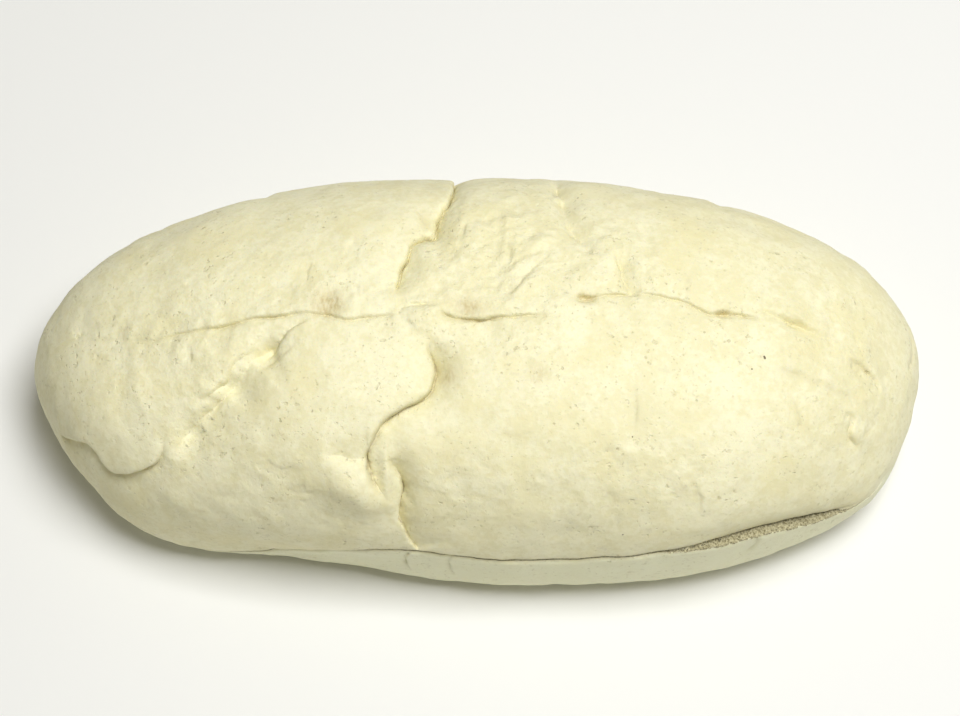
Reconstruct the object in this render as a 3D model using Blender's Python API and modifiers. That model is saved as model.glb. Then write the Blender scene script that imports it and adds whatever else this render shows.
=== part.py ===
"""A soft white bread roll, slit along its near side: one closed solid with its folds and its cut.

Metres, +Z up. The roll lies along X on its flat base at z = 0, with the slit side towards -Y.
A place on the crust is (x, girth): girth is the angle in degrees round the roll's long axis,
0 at the near side, 90 on the crown, 180 at the far side and 270 underneath.
"""

from dataclasses import dataclass

import bmesh
import bpy
import numpy as np
from mathutils import Vector, noise

# Overall size
LENGTH = 0.175
HALF_WIDTH = 0.0405
CROWN_HEIGHT = 0.0500
WIDEST_HEIGHT = 0.0150  # level of the long axis, where the roll is widest
UNDERSIDE_REACH = 0.0200  # the round underside is cut flat where it would pass below the table
FULLEST_X = 0.0055  # the thickest section is a little right of the middle

# Roundness. A plan runs (1 - u ** full) ** (1 / blunt) from the fullest section, u = 0, to the tip, u = 1.
NEAR_PLAN = (3.3, 1.6)
FAR_PLAN = (2.4, 2.1)
CROWN_PLAN = (2.3, 2.2)
UPPER_ROUNDNESS = 2.2  # 2 is an ellipse, more is squarer
LOWER_ROUNDNESS = 3.2

# Mesh
BALL_LEVEL = 6
VOXEL = 0.0007
TRIANGLES = 10200
SPINE_STEP = 0.0004  # spacing of the points that a crease is measured from
FLAT_WITHIN = 0.0003  # what ends this near the table lies on it
SHARP_ANGLE = 50

# Slit
SLIT_ENDS = (-0.062, 0.0795)
SLIT_LEVEL = 0.0225
SLIT_DROP_LEFT = (-0.012, -0.050, 0.0150)  # (starts at x, done at x, how far it sinks)
SLIT_DROP_RIGHT = (0.052, 0.080, 0.0068)
SLIT_DIP = (0.010, 0.021, 0.0026)  # (x, reach, depth) of the sag in the middle
SLIT_DEPTH = 0.013
SLIT_GAP = 0.0007
SLIT_MOUTH = (0.060, 0.014, 0.0014)  # (x, reach, extra gap) where the cut stands open
SLIT_TIP_GAP = 0.0004  # at the bottom of the cut
SLIT_TAPER = 0.12  # share of the slit's length over which each end closes
SLIT_CLOSED_SHARE = 0.05  # what is left of the gap at the very ends
BLADE_STATIONS = 49
BLADE_ROWS = 4
BLADE_REACH = 0.004  # how far the blade stands out of the crust


@dataclass(frozen=True)
class Crease:
    """A line where the crust folded in as the roll cooled. Its raised bank is on the left of its route."""

    route: tuple  # places on the crust
    depth: float
    lip: float  # width of the raised bank's rounded edge
    fall: float  # width of the other bank's slope
    swell: float = 0.0  # how far the raised bank stands proud
    fades: tuple = (0.25, 0.25)  # share of the length over which each end runs out


@dataclass(frozen=True)
class Lump:
    """A soft rise of the crust, or a hollow where height is negative."""

    place: tuple
    along: float  # radius along X
    across: float  # radius round the girth
    height: float


CREASES = {
    "crown_left": Crease(
        ((-0.079, 92), (-0.070, 83), (-0.060, 80), (-0.050, 83), (-0.038, 86), (-0.027, 86), (-0.013, 85)),
        depth=0.0012, lip=0.0014, fall=0.0014, fades=(0.5, 0.05),
    ),
    "crown_middle": Crease(
        ((-0.014, 86), (-0.006, 84), (0.001, 83), (0.010, 85), (0.018, 87), (0.025, 92)),
        depth=0.0013, lip=0.0018, fall=0.0010, fades=(0.1, 0.35),
    ),
    "crown_right": Crease(
        ((0.017, 92), (0.023, 94), (0.030, 95), (0.037, 93), (0.044, 89), (0.053, 90)),
        depth=0.0011, lip=0.0014, fall=0.0012, fades=(0.15, 0.2),
    ),
    "crown_end": Crease(
        ((0.053, 95), (0.058, 91), (0.064, 88), (0.071, 80), (0.075, 70), (0.078, 58)),
        depth=0.0007, lip=0.0014, fall=0.0014,
    ),
    "waist_far": Crease(
        ((-0.015, 88), (-0.015, 100), (-0.013, 108), (-0.008, 116), (-0.007, 128), (-0.004, 146),
         (-0.003, 170), (-0.006, 195)),
        depth=0.0019, lip=0.0011, fall=0.0030, swell=0.0007, fades=(0.06, 0.3),
    ),
    "waist_near": Crease(
        ((-0.018, 30), (-0.0200, 42), (-0.018, 49), (-0.0155, 53), (-0.011, 58), (-0.008, 63), (-0.008, 71),
         (-0.010, 84)),
        depth=0.0026, lip=0.0013, fall=0.0040, swell=0.0009, fades=(0.12, 0.10),
    ),
    "waist_foot": Crease(
        ((-0.0105, 9), (-0.012, 14), (-0.013, 23), (-0.014, 29), (-0.013, 35), (-0.0155, 44)),
        depth=0.0025, lip=0.0011, fall=0.0036, swell=0.0008, fades=(0.22, 0.2),
    ),
    "shoulder_left": Crease(
        ((-0.028, 86), (-0.036, 76), (-0.041, 66), (-0.047, 56), (-0.051, 46), (-0.053, 34)),
        depth=0.0024, lip=0.0034, fall=0.0026, swell=0.0004, fades=(0.15, 0.35),
    ),
    "end_left": Crease(
        ((-0.082, 12), (-0.0755, 29), (-0.070, 26), (-0.067, 23), (-0.063, 25), (-0.060, 30), (-0.058, 40),
         (-0.057, 50)),
        depth=0.0026, lip=0.0010, fall=0.0036, swell=0.0010, fades=(0.06, 0.3),
    ),
    "shoulder_right": Crease(
        ((0.0295, 95), (0.027, 101), (0.025, 107), (0.020, 115), (0.017, 128), (0.015, 143), (0.016, 165)),
        depth=0.0012, lip=0.0016, fall=0.0020, fades=(0.06, 0.4),
    ),
    "lobe_brow": Crease(
        ((-0.020, 44), (-0.026, 43), (-0.034, 44)),
        depth=0.0010, lip=0.0014, fall=0.0022, swell=0.0005, fades=(0.1, 0.6),
    ),
    "end_right": Crease(
        ((0.061, 44), (0.059, 58), (0.056, 70)),
        depth=0.0005, lip=0.0016, fall=0.0016,
    ),
    "slit_sill": Crease(
        ((0.079, -9), (0.072, 2), (0.064, 12), (0.052, 13), (0.040, 12), (0.026, 10)),
        depth=0.0012, lip=0.0006, fall=0.0030, swell=0.0004, fades=(0.2, 0.5),
    ),
    "foot_notch": Crease(
        ((-0.0125, 9), (-0.0135, 4), (-0.0120, -8)),
        depth=0.0009, lip=0.0007, fall=0.0016, fades=(0.05, 0.5),
    ),
    "foot_step": Crease(
        ((-0.0040, 9), (-0.0050, 2), (-0.0035, -8)),
        depth=0.0006, lip=0.0006, fall=0.0014, fades=(0.1, 0.5),
    ),
    "foot_right": Crease(
        ((0.0520, 12), (0.0505, 6), (0.0500, -8)),
        depth=0.0008, lip=0.0007, fall=0.0016, fades=(0.1, 0.5),
    ),
    "back_left": Crease(
        ((-0.047, 192), (-0.044, 178), (-0.046, 166), (-0.042, 155), (-0.043, 146)),
        depth=0.0012, lip=0.0016, fall=0.0028, swell=0.0004,
    ),
    "back_right": Crease(
        ((0.049, 145), (0.047, 155), (0.051, 168), (0.049, 186)),
        depth=0.0010, lip=0.0016, fall=0.0026, swell=0.0003,
    ),
}

LUMPS = (
    Lump((-0.022, 37), 0.0045, 0.0040, 0.0012),  # knuckle beside the waist
    Lump((-0.030, 60), 0.0160, 0.0150, 0.0014),  # left lobe
    Lump((-0.070, 48), 0.0120, 0.0140, 0.0012),  # left end lobe
    Lump((-0.048, 52), 0.0060, 0.0160, -0.0010),  # valley between those two
    Lump((-0.003, 70), 0.0040, 0.0060, -0.0008),  # hollow under the waist's lip
    Lump((0.004, 107), 0.0160, 0.0100, -0.0010),  # flattened panel behind the crown
    Lump((0.030, 55), 0.0280, 0.0180, 0.0008),  # right body
    Lump((-0.032, -8), 0.0210, 0.0110, -0.0034),  # the base draws in under the left lobe
    Lump((0.079, 78), 0.0060, 0.0060, -0.0008),  # dimple at the right tip
    Lump((-0.0645, -10), 0.0125, 0.0120, 0.0020),  # the left end's full lower corner
    Lump((0.0765, -9), 0.0105, 0.0120, 0.0018),  # the right end's
    Lump((0.0850, 130), 0.0060, 0.0080, 0.0008),  # right tip, far side
    Lump((0.0750, 150), 0.0100, 0.0100, 0.0005),  # back, beside it
    Lump((0.0370, 153), 0.0130, 0.0100, -0.0005),  # back, flatter
    Lump((-0.0860, 128), 0.0040, 0.0060, 0.0007),  # left tip, far side
    Lump((-0.0865, 8), 0.0050, 0.0080, 0.0004),  # left tip, near side
    Lump((0.0070, -13), 0.0100, 0.0100, 0.0007),  # base, middle
)

SWELLS = ((0.0170, 0.0006), (0.0065, 0.0002))  # (size, height) of the crust's uneven ground
WANDER = (0.0050, 0.0007)  # (size, reach) of the small bends in every crease
PULSE_LENGTH = 0.0060  # a crease's depth comes and goes over this length
PULSE_MEAN = 0.80
PULSE_SWING = 0.35
PULSE_SEED = (3.7, 1.1)


def plan(u, shape):
    """How wide the roll is at u, from 1 at its fullest section to 0 at its tip."""
    full, blunt = shape
    return (1 - np.clip(u, 0, 1) ** full) ** (1 / blunt)


def share_out(x):
    """How far x lies from the fullest section towards the nearer tip, 0 to 1."""
    half = LENGTH / 2
    return np.abs(x - FULLEST_X) / np.where(x > FULLEST_X, half - FULLEST_X, half + FULLEST_X)


def crust_points(x, girth):
    """The bare form's points at each x and girth, before its folds and lumps."""
    u = share_out(x)
    angle = np.radians(girth)
    side, rise = np.cos(angle), np.sin(angle)
    upper = rise >= 0
    width = HALF_WIDTH * np.where(side >= 0, plan(u, NEAR_PLAN), plan(u, FAR_PLAN))
    crown = (CROWN_HEIGHT - WIDEST_HEIGHT) * plan(u, CROWN_PLAN)
    height = np.where(upper, crown, UNDERSIDE_REACH * plan(u, NEAR_PLAN))
    power = np.where(upper, UPPER_ROUNDNESS, LOWER_ROUNDNESS)
    least = 1e-7  # keeps the tips from dividing by zero
    spread = (np.abs(side) / (width + least)) ** power + (np.abs(rise) / (height + least)) ** power
    radius = spread ** (-1 / power)
    return np.stack([x, -radius * side, WIDEST_HEIGHT + radius * rise], axis=-1)


def crust_normals(x, girth):
    """Unit vectors pointing out of the bare form."""
    step, turn = 0.0005, 0.5
    inner = LENGTH / 2 - 2 * step
    x = np.clip(x, -inner, inner)
    along = crust_points(x + step, girth) - crust_points(x - step, girth)
    around = crust_points(x, girth + turn) - crust_points(x, girth - turn)
    normal = np.cross(around, along)
    outward = crust_points(x, girth) - [0, 0, WIDEST_HEIGHT]
    normal *= np.sign(np.sum(normal * outward, axis=-1))[:, None]
    return normal / np.linalg.norm(normal, axis=-1, keepdims=True)


def smooth(route, step):
    """A Catmull-Rom curve through a route's places, with its points about step apart on the crust."""
    places = np.array(route, float)
    knots = crust_points(places[:, 0], places[:, 1])
    ends = np.vstack([2 * places[0] - places[1], places, 2 * places[-1] - places[-2]])
    curve = []
    for i in range(len(places) - 1):
        before, start, stop, after = ends[i : i + 4]
        chord = np.linalg.norm(knots[i + 1] - knots[i])
        t = np.arange(0, 1, min(0.5, step / chord))[:, None]
        curve.append(0.5 * (
            2 * start + (stop - before) * t + (2 * before - 5 * start + 4 * stop - after) * t**2
            + (3 * start - before - 3 * stop + after) * t**3
        ))
    return np.vstack([*curve, places[-1:]])


def ease(t):
    """0 to 1 with level ends."""
    t = np.clip(t, 0, 1)
    return t * t * (3 - 2 * t)


def bump(x, centre, reach):
    """A soft rise of height 1 at centre."""
    return np.exp(-(((x - centre) / reach) ** 2))


def pulse(run):
    """Slow noise along a crease, about 0.6 to 1."""
    waves = [noise.noise(Vector((value / PULSE_LENGTH, *PULSE_SEED))) for value in run]
    return PULSE_MEAN + PULSE_SWING * np.array(waves)


def crease_rise(crease, points):
    """How far a crease moves each point along the crust's normal."""
    places = smooth(crease.route, SPINE_STEP)
    spine = crust_points(places[:, 0], places[:, 1])
    left = np.cross(crust_normals(places[:, 0], places[:, 1]), np.gradient(spine, axis=0))
    left /= np.linalg.norm(left, axis=1, keepdims=True)
    run = np.concatenate([[0], np.cumsum(np.linalg.norm(np.diff(spine, axis=0), axis=1))])
    start, stop = crease.fades
    strength = ease(run / run[-1] / start) * ease((1 - run / run[-1]) / stop) * pulse(run)

    reach = 6 * max(crease.lip, crease.fall)
    near = np.all((points > spine.min(axis=0) - reach) & (points < spine.max(axis=0) + reach), axis=1)
    rise = np.zeros(len(points))
    block_size = 4000
    for block in np.array_split(np.flatnonzero(near), near.sum() // block_size + 1):
        apart = points[block, None] - spine[None]
        nearest = np.argmin(np.sum(apart**2, axis=2), axis=1)
        from_spine = apart[np.arange(len(block)), nearest]
        off = np.linalg.norm(from_spine, axis=1)
        swell = crease.swell * (1 - np.exp(-((off / crease.lip) ** 2))) * np.exp(-off / (4 * crease.lip))
        raised = swell - crease.depth * np.exp(-((off / crease.lip) ** 1.6))
        fallen = -crease.depth * np.exp(-off / crease.fall)
        on_left = np.sum(from_spine * left[nearest], axis=1) > 0
        rise[block] = np.where(on_left, raised, fallen) * strength[nearest]
    return rise


def lump_rise(lump, points):
    """How far a lump moves each point along the crust's normal."""
    x, girth = (np.array([value]) for value in lump.place)
    away = points - crust_points(x, girth)[0]
    along = away[:, 0] / lump.along
    across = np.linalg.norm(away[:, 1:], axis=1) / lump.across
    return lump.height * np.exp(-(along**2) - across**2)


def ground_rise(points):
    """The crust's slow unevenness."""
    return np.array([
        sum(height * noise.noise(Vector(point) / size) for size, height in SWELLS) for point in points
    ])


def wander(points):
    """The points moved a little sideways, so that creases measured from them bend as real ones do."""
    size, reach = WANDER
    return points + reach * np.array([noise.noise_vector(Vector(point) / size) for point in points])


def folded(points, normals):
    """The bare form's points with the folds, lumps and unevenness, and the underside flat on the table."""
    bent = wander(points)
    rise = ground_rise(points)
    rise += sum(crease_rise(crease, bent) for crease in CREASES.values())
    rise += sum(lump_rise(lump, points) for lump in LUMPS)
    moved = points + normals * rise[:, None]
    moved[:, 2] = np.maximum(moved[:, 2], 0)
    return moved


def vertex_array(mesh, field):
    """A mesh's positions or normals, one row for each vertex."""
    values = np.empty(len(mesh.vertices) * 3, np.float32)
    getattr(mesh, field).foreach_get("co" if field == "vertices" else "vector", values)
    return values.reshape(-1, 3).astype(float)


def apply_modifiers(obj):
    """Gives the object the mesh that its modifiers make."""
    graph = bpy.context.evaluated_depsgraph_get()
    made = bpy.data.meshes.new_from_object(obj.evaluated_get(graph), depsgraph=graph)
    obj.modifiers.clear()
    obj.data = made


def object_from(form, name, collection):
    """A new object in the collection, from a bmesh that is then freed."""
    mesh = bpy.data.meshes.new(name)
    form.to_mesh(mesh)
    form.free()
    obj = bpy.data.objects.new(name, mesh)
    collection.objects.link(obj)
    return obj


def bare_roll(collection):
    """The bare form: a ball stretched to the roll's sections, remeshed into even squares."""
    form = bmesh.new()
    bmesh.ops.create_icosphere(form, subdivisions=BALL_LEVEL, radius=1)
    ball = np.array([vert.co for vert in form.verts])
    girth = np.degrees(np.arctan2(ball[:, 2], -ball[:, 1]))
    for vert, place in zip(form.verts, crust_points(ball[:, 0] * LENGTH / 2, girth)):
        vert.co = place
    roll = object_from(form, "bread_roll", collection)
    remesh = roll.modifiers.new("even_squares", "REMESH")
    remesh.mode = "VOXEL"
    remesh.voxel_size = VOXEL
    apply_modifiers(roll)
    return roll


def fold_crust(roll):
    """Presses the creases and lumps into the crust."""
    mesh = roll.data
    moved = folded(vertex_array(mesh, "vertices"), vertex_array(mesh, "vertex_normals"))
    mesh.vertices.foreach_set("co", moved.astype(np.float32).ravel())
    mesh.update()


def thin_out(roll):
    """Leaves fewer triangles where the crust is smooth."""
    roll.data.calc_loop_triangles()
    thin = roll.modifiers.new("fewer_triangles", "DECIMATE")
    thin.ratio = TRIANGLES / len(roll.data.loop_triangles)
    thin.use_collapse_triangulate = True
    apply_modifiers(roll)


def settle(roll):
    """Flattens the base on the table with its middle at the origin, and returns where that middle was."""
    points = vertex_array(roll.data, "vertices")
    points[points[:, 2] < FLAT_WITHIN, 2] = 0
    middle = (points.min(axis=0) + points.max(axis=0)) / 2
    points[:, :2] -= middle[:2]
    roll.data.vertices.foreach_set("co", points.astype(np.float32).ravel())
    roll.data.shade_smooth()
    roll.data.set_sharp_from_angle(angle=np.radians(SHARP_ANGLE))
    return middle


def slit_level(x):
    """The slit's height: half-way up the near side, lower towards its ends."""
    level = SLIT_LEVEL
    for starts, done, drop in (SLIT_DROP_LEFT, SLIT_DROP_RIGHT):
        level = level - drop * ease((x - starts) / (done - starts))
    dip_x, dip_reach, dip = SLIT_DIP
    return level - dip * bump(x, dip_x, dip_reach)


def slit_gap(x):
    """How far the slit stands open at the crust."""
    mouth_x, mouth_reach, mouth = SLIT_MOUTH
    return SLIT_GAP + mouth * bump(x, mouth_x, mouth_reach)


def slit_blade(collection, middle):
    """The sheet of air that the knife left: a grid bent along the near side, as thick as the slit is open."""
    form = bmesh.new()
    bmesh.ops.create_grid(form, x_segments=BLADE_STATIONS, y_segments=BLADE_ROWS, size=1)
    blade = object_from(form, "slit_blade", collection)
    gaps = blade.vertex_groups.new(name="gap")
    first, last = SLIT_ENDS
    widest = SLIT_GAP + SLIT_MOUTH[2]
    for vert in blade.data.vertices:
        along, inward = (float(value) for value in (np.array(vert.co.xy) + 1) / 2)
        x = first + (last - first) * along
        level = float(slit_level(x))
        half = HALF_WIDTH * float(plan(share_out(x), NEAR_PLAN))
        girth = np.degrees(np.arctan2(level - WIDEST_HEIGHT, half))
        crust_y = crust_points(np.array([x]), np.array([girth]))[0][1]
        y = crust_y - BLADE_REACH + inward * (BLADE_REACH + SLIT_DEPTH)
        vert.co = Vector((x - middle[0], y - middle[1], level))
        open_share = min(1, SLIT_CLOSED_SHARE + ease(min(along, 1 - along) / SLIT_TAPER))
        gap = slit_gap(x) * open_share
        gap += (SLIT_TIP_GAP - gap) * ease(inward)
        gaps.add([vert.index], float(gap / widest), "REPLACE")
    sheet = blade.modifiers.new("gap", "SOLIDIFY")
    sheet.thickness = widest
    sheet.offset = 0
    sheet.vertex_group = "gap"
    blade.hide_render = True
    blade.display_type = "WIRE"
    return blade


def cut_slit(roll, blade):
    """Opens the slit in the near side."""
    cut = roll.modifiers.new("slit", "BOOLEAN")
    cut.operation = "DIFFERENCE"
    cut.object = blade


def crust_material():
    """Pale, barely baked crust."""
    made = bpy.data.materials.new("pale_crust")
    made.use_nodes = True
    shader = made.node_tree.nodes["Principled BSDF"]
    shader.inputs["Base Color"].default_value = (0.86, 0.80, 0.56, 1)
    shader.inputs["Roughness"].default_value = 0.62
    shader.inputs["Metallic"].default_value = 0.0
    return made


def main():
    for obj in list(bpy.data.objects):
        bpy.data.objects.remove(obj)
    parts = bpy.data.collections.new("white_bread_roll")
    cutters = bpy.data.collections.new("cutters")
    for collection in (parts, cutters):
        bpy.context.scene.collection.children.link(collection)

    roll = bare_roll(parts)
    fold_crust(roll)
    thin_out(roll)
    middle = settle(roll)
    cut_slit(roll, slit_blade(cutters, middle))
    roll.data.materials.append(crust_material())


main()
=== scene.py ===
"""A soft white bread roll, slit along its near side, on a plain pale floor.

Metres, +Z up. The roll lies along X, with its slit side towards -Y. A place on the crust is
(x, girth): girth is the angle in degrees round the roll's long axis, 0 at the near side, 90 on
the crown, 180 at the far side and 270 underneath.
"""

import logging
import math
from dataclasses import dataclass, field
from enum import Enum

import bmesh
import bpy
import numpy as np
from mathutils import Matrix, Vector, noise
from mathutils.bvhtree import BVHTree

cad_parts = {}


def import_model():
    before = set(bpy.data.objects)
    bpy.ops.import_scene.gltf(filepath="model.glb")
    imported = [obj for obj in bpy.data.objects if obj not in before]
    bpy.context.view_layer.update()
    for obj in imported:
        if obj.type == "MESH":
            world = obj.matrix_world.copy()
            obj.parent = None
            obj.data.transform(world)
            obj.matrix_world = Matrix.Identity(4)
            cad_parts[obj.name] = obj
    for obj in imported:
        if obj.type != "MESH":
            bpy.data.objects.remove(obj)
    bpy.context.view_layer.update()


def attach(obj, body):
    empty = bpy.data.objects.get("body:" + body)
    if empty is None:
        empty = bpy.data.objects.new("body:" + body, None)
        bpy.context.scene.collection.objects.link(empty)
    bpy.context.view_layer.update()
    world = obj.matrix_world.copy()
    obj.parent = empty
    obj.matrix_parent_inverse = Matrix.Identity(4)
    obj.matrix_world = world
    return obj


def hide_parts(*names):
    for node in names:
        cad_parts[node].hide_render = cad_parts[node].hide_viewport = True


LOG = logging.getLogger("bread_roll")
NODE = "bread_roll"
BODY = "root"
BLOCK = 4000  # points measured against a crease at once
NOISE_SEED = 7  # without one, noise_vector is different in each run


class Slot(Enum):
    """The names of the two materials' slots."""

    CRUST = "pale_crust"
    CRUMB = "torn_crumb"


def ease(t: np.ndarray | float) -> np.ndarray | float:
    """0 to 1 with level ends."""
    t = np.clip(t, 0, 1)
    return t * t * (3 - 2 * t)


def bump(x: np.ndarray | float, centre: float, reach: float) -> np.ndarray | float:
    """A soft rise of height 1 at centre."""
    return np.exp(-(((x - centre) / reach) ** 2))


def noise_at(points: np.ndarray, size: float) -> np.ndarray:
    """Smooth noise of about -1 to 1 at each point, with bumps of the given size."""
    return np.array([noise.noise(point) for point in map(Vector, points / size)])


def ridges(points: np.ndarray, size: float) -> np.ndarray:
    """Noise with sharp crests, as in crushed paper, of about -0.6 to 0.6."""
    sharpness = 2.4
    return 0.6 - sharpness * np.abs(noise_at(points, size))


def noise_vectors(points: np.ndarray, size: float) -> np.ndarray:
    """A smooth random vector at each point, with bends of the given size."""
    return np.array([noise.noise_vector(point)[:] for point in map(Vector, points / size)])


# Meshes


def vertex_array(mesh: bpy.types.Mesh) -> np.ndarray:
    """A mesh's vertex positions, one row for each."""
    values = np.empty(len(mesh.vertices) * 3, np.float32)
    mesh.vertices.foreach_get("co", values)
    return values.reshape(-1, 3).astype(float)


def normal_array(mesh: bpy.types.Mesh) -> np.ndarray:
    """A mesh's vertex normals, one row for each."""
    values = np.empty(len(mesh.vertices) * 3, np.float32)
    mesh.vertex_normals.foreach_get("vector", values)
    return values.reshape(-1, 3).astype(float)


def set_vertices(mesh: bpy.types.Mesh, points: np.ndarray) -> None:
    """Moves a mesh's vertices to the given points."""
    mesh.vertices.foreach_set("co", points.astype(np.float32).ravel())
    mesh.update()


def triangle_count(mesh: bpy.types.Mesh) -> int:
    """How many triangles a mesh has."""
    mesh.calc_loop_triangles()
    return len(mesh.loop_triangles)


def select_only(obj: bpy.types.Object) -> None:
    """Makes one object the selected and active one."""
    bpy.ops.object.select_all(action="DESELECT")
    obj.select_set(True)
    bpy.context.view_layer.objects.active = obj


def apply_modifier(obj: bpy.types.Object, kind: str, **settings: object) -> None:
    """Adds a modifier to an object and applies it.

    Args:
        obj: The object to change.
        kind: The modifier's type.
        **settings: The modifier's properties.
    """
    select_only(obj)
    modifier = obj.modifiers.new(kind.lower(), kind)
    modifier.show_viewport = False  # so that it isn't worked out twice
    for name, value in settings.items():
        setattr(modifier, name, value)
    bpy.ops.object.modifier_apply(modifier=modifier.name)


def thin_to(obj: bpy.types.Object, triangles: int) -> None:
    """Merges the smallest edges until an object has about this many triangles."""
    share = triangles / triangle_count(obj.data)
    if share < 1:
        apply_modifier(obj, "DECIMATE", ratio=share, use_collapse_triangulate=True)


def renamed(obj: bpy.types.Object, name: str) -> bpy.types.Object:
    """The same object, with its name and its mesh's name set."""
    obj.name = name
    obj.data.name = name
    return obj


# The form


@dataclass(frozen=True)
class RollForm:
    """The bare roll, before its folds: round sections along a straight axis.

    A plan (full, blunt) runs (1 - u ** full) ** (1 / blunt) from the fullest section, u = 0, to
    the tip, u = 1.
    """

    length: float = 0.175
    half_width: float = 0.0405
    crown_height: float = 0.0500
    widest_height: float = 0.0150
    underside_reach: float = 0.0200
    fullest_x: float = 0.0055
    near_plan: tuple[float, float] = (3.3, 1.6)
    far_plan: tuple[float, float] = (2.4, 2.1)
    crown_plan: tuple[float, float] = (2.3, 2.2)
    upper_roundness: float = 2.2
    lower_roundness: float = 3.2

    def plan(self, u: np.ndarray, shape: tuple[float, float]) -> np.ndarray:
        """How wide the roll is at u, from 1 at its fullest section to 0 at its tip."""
        full, blunt = shape
        return (1 - np.clip(u, 0, 1) ** full) ** (1 / blunt)

    def share_out(self, x: np.ndarray) -> np.ndarray:
        """How far x lies from the fullest section towards the nearer tip, 0 to 1."""
        half = self.length / 2
        run = np.where(x > self.fullest_x, half - self.fullest_x, half + self.fullest_x)
        return np.abs(x - self.fullest_x) / run

    def points(self, x: np.ndarray, girth: np.ndarray) -> np.ndarray:
        """The crust's points at each x and girth."""
        u = self.share_out(x)
        angle = np.radians(girth)
        side, rise = np.cos(angle), np.sin(angle)
        upper = rise >= 0
        near = self.plan(u, self.near_plan)
        width = self.half_width * np.where(side >= 0, near, self.plan(u, self.far_plan))
        crown = (self.crown_height - self.widest_height) * self.plan(u, self.crown_plan)
        height = np.where(upper, crown, self.underside_reach * near)
        power = np.where(upper, self.upper_roundness, self.lower_roundness)
        least = 1e-7  # keeps the tips from dividing by zero
        spread = (np.abs(side) / (width + least)) ** power + (np.abs(rise) / (height + least)) ** power
        radius = spread ** (-1 / power)
        return np.stack([x, -radius * side, self.widest_height + radius * rise], axis=-1)

    def normals(self, x: np.ndarray, girth: np.ndarray) -> np.ndarray:
        """Unit vectors pointing out of the crust."""
        step, turn = 0.0005, 0.5
        inner = self.length / 2 - 2 * step
        x = np.clip(x, -inner, inner)
        along = self.points(x + step, girth) - self.points(x - step, girth)
        around = self.points(x, girth + turn) - self.points(x, girth - turn)
        normal = np.cross(around, along)
        outward = self.points(x, girth) - [0, 0, self.widest_height]
        normal *= np.sign(np.sum(normal * outward, axis=-1))[:, None]
        return normal / np.linalg.norm(normal, axis=-1, keepdims=True)

    def girth_of(self, points: np.ndarray) -> np.ndarray:
        """The girth of points on or near the crust."""
        return np.degrees(np.arctan2(points[:, 2] - self.widest_height, -points[:, 1]))

    def at(self, x: float, girth: float) -> np.ndarray:
        """One point on the crust."""
        return self.points(np.array([x]), np.array([girth]))[0]

    def at_level(self, x: np.ndarray, level: np.ndarray) -> np.ndarray:
        """The points on the near side's crust at each x and about a height."""
        half = self.half_width * self.plan(self.share_out(x), self.near_plan)
        return self.points(x, np.degrees(np.arctan2(level - self.widest_height, half)))


# Folds


@dataclass(frozen=True)
class Spine:
    """A crease's line on the bare crust, as the points that others are measured from."""

    points: np.ndarray
    tangents: np.ndarray
    lefts: np.ndarray
    run: np.ndarray  # how far along the line each point is
    strength: np.ndarray
    step: float

    def measure(self, points: np.ndarray, reach: float) -> tuple[np.ndarray, np.ndarray, np.ndarray]:
        """Finds the points near this line.

        Args:
            points: Points on the bare crust.
            reach: How far from the line counts as near.

        Returns:
            The indices of the near points, their signed distances, positive on the left of the
            line, and how far along the line each is.
        """
        low = self.points.min(axis=0) - reach
        high = self.points.max(axis=0) + reach
        near = np.flatnonzero(np.all((points > low) & (points < high), axis=1))
        nearest = np.empty(len(near), int)
        for part in np.array_split(np.arange(len(near)), len(near) // BLOCK + 1):
            apart = points[near[part], None] - self.points[None]
            nearest[part] = np.argmin(np.einsum("ijk,ijk->ij", apart, apart), axis=1)
        away = points[near] - self.points[nearest]
        along = np.clip(np.sum(away * self.tangents[nearest], axis=1), -self.step, self.step)
        off = np.sqrt(np.maximum(np.sum(away**2, axis=1) - along**2, 0))
        side = np.sign(np.sum(away * self.lefts[nearest], axis=1))
        within = off < reach
        return near[within], (off * side)[within], (self.run[nearest] + along)[within]

    def strength_at(self, run: np.ndarray) -> np.ndarray:
        """The crease's strength at distances along its line."""
        return np.interp(run, self.run, self.strength)

    def lefts_at(self, run: np.ndarray) -> np.ndarray:
        """The way to the left at distances along the line."""
        return np.stack([np.interp(run, self.run, part) for part in self.lefts.T], axis=1)


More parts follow.
